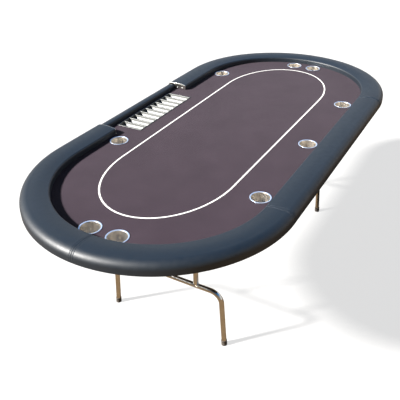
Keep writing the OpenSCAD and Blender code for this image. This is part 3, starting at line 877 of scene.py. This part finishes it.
def make_tray():
    """Pressed chip tray: one sheet with ten half-round rows, rounded ridges and a flat lip."""
    lip_top = TRAY_HIGH[2]
    sheet = 1.2 * MM
    ridge_r = 2.0 * MM
    rows = 10
    half = TRAY_HIGH[0] - 5 * MM
    pitch = 2 * half / rows
    row_r = pitch / 2 - ridge_r
    centre_z = lip_top - ridge_r
    profile = [(-TRAY_HIGH[0], lip_top), (-half, lip_top)]
    for i in range(rows):
        xc = -half + pitch * (i + 0.5)
        if i == 0:
            profile += arc(-half, centre_z, ridge_r, ridge_r, 80, 10, 4)
        profile += arc(xc, centre_z, row_r, row_r, 180, 360, 26)
        profile += arc(xc + pitch / 2, centre_z, ridge_r, ridge_r, 165, 15 if i < rows - 1 else 90, 7)
    profile += [(half + 1 * MM, lip_top), (TRAY_HIGH[0], lip_top)]
    y0, y1 = TRAY_LOW[1], TRAY_HIGH[1]
    wall = [(0.0, 0.0), (3.4, 0.0), (4.2, 0.0), (4.8, 0.02), (5.3, 0.08), (5.7, 0.3), (5.9, 0.7),
            (6.3, 0.93), (7.0, 0.99), (8.0, 1.0)]
    rows_y = [(y0 + e * MM, f) for e, f in wall]
    inner0, inner1 = y0 + 8 * MM, y1 - 8 * MM
    rows_y += [(inner0 + (inner1 - inner0) * i / 12, 1.0) for i in range(1, 12)]
    rows_y += [(y1 - e * MM, f) for e, f in reversed(wall)]
    verts = [(x, y, lip_top + f * (z - lip_top)) for y, f in rows_y for x, z in profile]
    obj = mesh_object("chip_tray_pressed", verts, grid_faces(len(rows_y), len(profile)),
                      MATS["tray_aluminium"], 60.0)
    thick = obj.modifiers.new("sheet", "SOLIDIFY")
    thick.thickness = sheet
    thick.offset = -1.0
    apply_modifiers(obj)
    finish_piece(obj, BODY, "tray_aluminium", "chip_tray")


def apply_modifiers(obj):
    """Replaces the object's mesh by what its modifiers make of it."""
    shape = obj.evaluated_get(bpy.context.evaluated_depsgraph_get())
    mesh = bpy.data.meshes.new_from_object(shape)
    obj.modifiers.clear()
    obj.data = mesh


# ---------- legs and hardware ----------

def make_glides():
    """Ribbed rubber ferrules on the four feet."""
    for end in ENDS:
        parts = Parts()
        for low, high in islands(end + "_leg_glides"):
            r, tall = (high[0] - low[0]) / 2, high[2] - low[2]
            lean = math.asin(max(high[1] - low[1] - 2 * r, 0.0) / (tall - 1.7 * MM))
            h = (tall - (r - MM) * math.sin(lean)) / math.cos(lean)
            side = 1.0 if low[1] > 0 else -1.0
            foot_y = side * (max(abs(low[1]), abs(high[1])) - r / math.cos(lean))
            p = [(0.0, -MM), (r - 2.2 * MM, -MM)]
            p += arc(r - 1.6 * MM, 0.6 * MM, 1.6 * MM, 1.6 * MM, -80, 0, 5)
            for k in range(4):
                z = 5 * MM + k * 4 * MM
                p += [(r, z), (r - 0.55 * MM, z + 0.5 * MM), (r - 0.55 * MM, z + 1.2 * MM), (r, z + 1.7 * MM)]
            p += [(r, h - 1.8 * MM)] + arc(r - 1.2 * MM, h - 1.2 * MM, 1.2 * MM, 1.2 * MM, 0, 90, 4)
            p += [(r - 2 * MM, h), (0.0, h)]
            axis = (0.0, -side * math.sin(lean), math.cos(lean))
            verts, faces = lathe(p, ((low[0] + high[0]) / 2, foot_y, 0.0), 48, axis)
            parts.add([(x, y, max(z, 0.0)) for x, y, z in verts], faces)
        obj = parts.make(end + "_foot_ferrules", MATS["glide_rubber"], 50.0)
        finish_piece(obj, end + "_leg", "glide_rubber", end + "_leg_glides")


def make_welds():
    """Weld beads where each strut meets the crossbar, along the saddle line between the two tubes."""
    bead = 1.9 * MM
    steps, sides = 72, 8
    for end in ENDS:
        bar_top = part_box(end + "_leg_u_tube")[1][2]
        parts = Parts()
        for low, high in islands(end + "_leg_struts"):
            r = (high[0] - low[0]) / 2
            cx, cy = (low[0] + high[0]) / 2, (low[1] + high[1]) / 2
            verts = []
            for i in range(steps):
                a = 2 * math.pi * i / steps
                swell = 1.0 + 0.12 * math.sin(a * 19)
                reach = r + 0.4 * MM
                x, y = reach * math.cos(a), reach * math.sin(a)
                z = bar_top - r + math.sqrt(max(r * r - (r * math.cos(a)) ** 2, 0.0)) + 0.4 * MM
                out = Vector((math.cos(a), math.sin(a), 0.0))
                for k in range(sides):
                    b = 2 * math.pi * k / sides
                    v = Vector((cx + x, cy + y, z)) + out * (bead * swell * math.cos(b))
                    verts.append(tuple(v + Vector((0, 0, bead * swell * math.sin(b)))))
            parts.add(verts, grid_faces(steps, sides, closed_rows=True, closed_cols=True))
        welds = parts.make(end + "_strut_welds", MATS["chrome_tube"], 60.0)
        finish_piece(welds, end + "_leg", "chrome_tube")


def screw_head(centre, axis, radius, height, turn):
    """(verts, faces) of a domed head with a cross recess, whose back lies at centre."""
    rings, spokes = 9, 32
    verts = []
    for i in range(1, rings + 1):
        for k in range(spokes):
            a = 2 * math.pi * k / spokes
            x, y = radius * i / rings * math.cos(a), radius * i / rings * math.sin(a)
            dome = height * (1 - 0.55 * (i / rings) ** 2.4)
            arm = radius * 0.55
            slot = radius * 0.15
            in_slot = (abs(x) < slot and abs(y) < arm) or (abs(y) < slot and abs(x) < arm)
            verts.append((x, y, dome - (0.5 * height if in_slot else 0.0)))
    verts += [(radius * math.cos(2 * math.pi * k / spokes), radius * math.sin(2 * math.pi * k / spokes), 0.0)
              for k in range(spokes)]
    verts.append((0.0, 0.0, 0.45 * height))
    faces = grid_faces(rings + 1, spokes, closed_cols=True)
    faces += [[len(verts) - 1, k, (k + 1) % spokes] for k in range(spokes)]
    faces.append([rings * spokes + k for k in range(spokes)])
    spin = Matrix.Rotation(turn, 3, "Z")
    lean = Vector((0, 0, 1)).rotation_difference(Vector(axis)).to_matrix()
    return [tuple(lean @ (spin @ Vector(v)) + Vector(centre)) for v in verts], faces


def shank(centre, axis, radius, length):
    return lathe([(0, 0), (radius, 0), (radius, length - radius), (0.4 * radius, length - 0.2 * radius),
                  (0, length)], centre, 20, axis)


def make_bracket_screws():
    parts = Parts()
    for i, (low, high) in enumerate(islands("bracket_screws")):
        cx, cy = (low[0] + high[0]) / 2, (low[1] + high[1]) / 2
        head_z = low[2] + 2.2 * MM
        parts.add(*screw_head((cx, cy, head_z), (0, 0, -1), (high[0] - low[0]) / 2, 2.2 * MM, i * 0.9))
        parts.add(*shank((cx, cy, head_z), (0, 0, 1), 1.75 * MM, high[2] - head_z))
    obj = parts.make("bracket_screws_cross_head", MATS["zinc_steel"])
    finish_piece(obj, BODY, "zinc_steel", "bracket_screws")


def make_cap_screws():
    parts = Parts()
    for i, (low, high) in enumerate(islands("end_cap_screws")):
        cy, cz = (low[1] + high[1]) / 2, (low[2] + high[2]) / 2
        far = high[0] > 0
        head = low[0] + 1.5 * MM if far else high[0] - 1.5 * MM
        out = -1.0 if far else 1.0
        parts.add(*screw_head((head, cy, cz), (out, 0, 0), 3.5 * MM, 1.5 * MM, 0.4 + i))
        parts.add(*shank((head, cy, cz), (-out, 0, 0), 1.45 * MM, high[0] - low[0] - 1.5 * MM))
    obj = parts.make("end_cap_screws_cross_head", MATS["zinc_steel"])
    finish_piece(obj, BODY, "zinc_steel", "end_cap_screws")


def hex_head(centre, radius, height, turn):
    """(verts, faces) of a hexagon head that hangs below centre, with a chamfered edge."""
    sides = 6
    levels = [(0.0, 1.0), (-0.72 * height, 1.0), (-height, 0.86)]
    verts = []
    for z, scale in levels:
        for k in range(sides):
            a = turn + 2 * math.pi * k / sides
            verts.append((centre[0] + radius * scale * math.cos(a), centre[1] + radius * scale * math.sin(a),
                          centre[2] + z))
    faces = grid_faces(len(levels), sides, closed_cols=True)
    faces += [list(range(sides)), [2 * sides + k for k in range(sides)]]
    return verts, faces


def make_rail_bolts():
    parts = Parts()
    for i, (low, high) in enumerate(islands("rail_bolts")):
        cx, cy = (low[0] + high[0]) / 2, (low[1] + high[1]) / 2
        washer = ring_lathe([(3.2 * MM, 0), (7.5 * MM, 0), (7.8 * MM, -0.3 * MM), (7.8 * MM, -0.9 * MM),
                             (7.5 * MM, -1.1 * MM), (3.2 * MM, -1.1 * MM)], (cx, cy, BOARD_Z), 40)
        parts.add(*washer)
        parts.add(*hex_head((cx, cy, BOARD_Z - 1.1 * MM), 5.6 * MM, 3.6 * MM, 0.7 * i))
        parts.add(*shank((cx, cy, BOARD_Z - 1.1 * MM), (0, 0, 1), 2.9 * MM, high[2] - BOARD_Z))
    obj = parts.make("rail_bolts_hex_head", MATS["zinc_steel"], 30.0)
    finish_piece(obj, BODY, "zinc_steel", "rail_bolts")


EDGE_ROUND = 0.35 * MM
EDGE_ANGLE = 50


def soften_cad_edges():
    """Small rounded edges on the pressed brackets, links and rivets."""
    words = ("bracket_front", "bracket_rear", "upper_front", "upper_rear", "lower_front", "lower_rear",
             "pins")
    for name, obj in frame["nodes"].items():
        if name.endswith(words):
            bevel = obj.modifiers.new("edge", "BEVEL")
            bevel.width = EDGE_ROUND
            bevel.segments = 2
            bevel.limit_method = "ANGLE"
            bevel.angle_limit = math.radians(EDGE_ANGLE)
            bevel.harden_normals = False


# ---------- stage, light and camera ----------

def make_stage():
    """A wide pale floor just under the glides."""
    size = 60.0
    drop = 0.5 * MM
    verts = [(x * size, y * size, -drop) for x, y in ((-1, -1), (1, -1), (1, 1), (-1, 1))]
    floor = mesh_object("studio_floor", verts, [[0, 1, 2, 3]], floor_paint())


def bearing(azimuth, height):
    """Unit vector at these angles in degrees: azimuth from +X towards +Y, height above the floor."""
    a, h = math.radians(azimuth), math.radians(height)
    return Vector((math.cos(a) * math.cos(h), math.sin(a) * math.cos(h), math.sin(h)))


SKY_LIGHT = ((0.0, (1.0, 1.0, 1.0)), (0.32, (0.85, 0.85, 0.85)), (0.50, (0.04, 0.06, 0.09)),
             (0.78, (0.004, 0.012, 0.03)))
SKY_SHINE = ((0.0, (1.0, 1.0, 1.0)), (0.37, (0.84, 0.87, 0.88)), (0.60, (0.12, 0.40, 0.86)),
             (0.85, (0.03, 0.16, 0.45)))


def make_sky():
    """Sky that is white near the horizon, blue above in reflections, and plain white behind the table.

    The side that the near end faces is dim."""
    world = bpy.data.worlds.new("studio")
    bpy.context.scene.world = world
    world.use_nodes = True
    nodes, link = world.node_tree.nodes, world.node_tree.links.new
    axes = nodes.new("ShaderNodeSeparateXYZ")
    link(nodes.new("ShaderNodeTexCoord").outputs["Generated"], axes.inputs["Vector"])
    side = nodes.new("ShaderNodeMapRange")
    for key, value in (("From Min", -0.9), ("From Max", 0.1), ("To Min", 0.12), ("To Max", 1.0)):
        side.inputs[key].default_value = value
    link(axes.outputs["X"], side.inputs["Value"])

    def background(stops):
        ramp = nodes.new("ShaderNodeValToRGB")
        elements = ramp.color_ramp.elements
        while len(elements) < len(stops):
            elements.new(0.5)
        for element, (place_z, rgb) in zip(elements, stops):
            element.position = place_z
            element.color = (*rgb, 1.0)
        link(axes.outputs["Z"], ramp.inputs["Fac"])
        dim = nodes.new("ShaderNodeVectorMath")
        dim.operation = "SCALE"
        link(ramp.outputs["Color"], dim.inputs[0])
        link(side.outputs["Result"], dim.inputs["Scale"])
        made = nodes.new("ShaderNodeBackground")
        link(dim.outputs["Vector"], made.inputs["Color"])
        return made.outputs["Background"]

    def choose(ray, first, second):
        mix = nodes.new("ShaderNodeMixShader")
        link(nodes.new("ShaderNodeLightPath").outputs[ray], mix.inputs[0])
        link(first, mix.inputs[1])
        link(second, mix.inputs[2])
        return mix.outputs["Shader"]

    plain = nodes["Background"]
    plain.inputs["Color"].default_value = (1.0, 1.0, 1.0, 1.0)
    plain.inputs["Strength"].default_value = 1.0
    seen = choose("Is Glossy Ray", background(SKY_LIGHT), background(SKY_SHINE))
    seen = choose("Is Camera Ray", seen, plain.outputs["Background"])
    link(seen, nodes["World Output"].inputs["Surface"])


def make_light():
    data = bpy.data.lights.new("key", "SUN")
    data.energy = 14.0
    data.angle = math.radians(5.0)
    data.color = (1.0, 0.97, 0.93)
    obj = bpy.data.objects.new("key", data)
    bpy.context.scene.collection.objects.link(obj)
    obj.rotation_euler = (-bearing(135, 31)).to_track_quat("-Z", "Y").to_euler()
    scene = bpy.context.scene
    scene.view_settings.view_transform = "Standard"
    scene.view_settings.look = "None"


def make_camera():
    """Camera at the photograph's angle, level apart from a slight roll."""
    yaw, pitch, roll = math.radians(30.05), math.radians(32.30), math.radians(-0.93)
    forward = Vector((math.cos(yaw) * math.cos(pitch), math.sin(yaw) * math.cos(pitch), -math.sin(pitch)))
    right = Vector((math.sin(yaw), -math.cos(yaw), 0.0))
    up = right.cross(forward)
    right2 = math.cos(roll) * right + math.sin(roll) * up
    up2 = -math.sin(roll) * right + math.cos(roll) * up
    data = bpy.data.cameras.new("camera")
    data.lens = 49.46
    data.sensor_width = 36.0
    data.clip_end = 200.0
    cam = bpy.data.objects.new("camera", data)
    bpy.context.scene.collection.objects.link(cam)
    turn = Matrix((right2, up2, -forward)).transposed()
    cam.matrix_world = Matrix.Translation((-2.114, -1.050, CLOTH_Z + 1.088)) @ turn.to_4x4()
    bpy.context.scene.camera = cam


make_camera()
make_stage()
make_sky()
make_light()
paint_cad_nodes()
make_rail()
make_stitches()
make_end_caps()
make_staples()
make_cloth()
make_cups()
make_tray()
make_glides()
make_welds()
make_bracket_screws()
make_cap_screws()
make_rail_bolts()
soften_cad_edges()
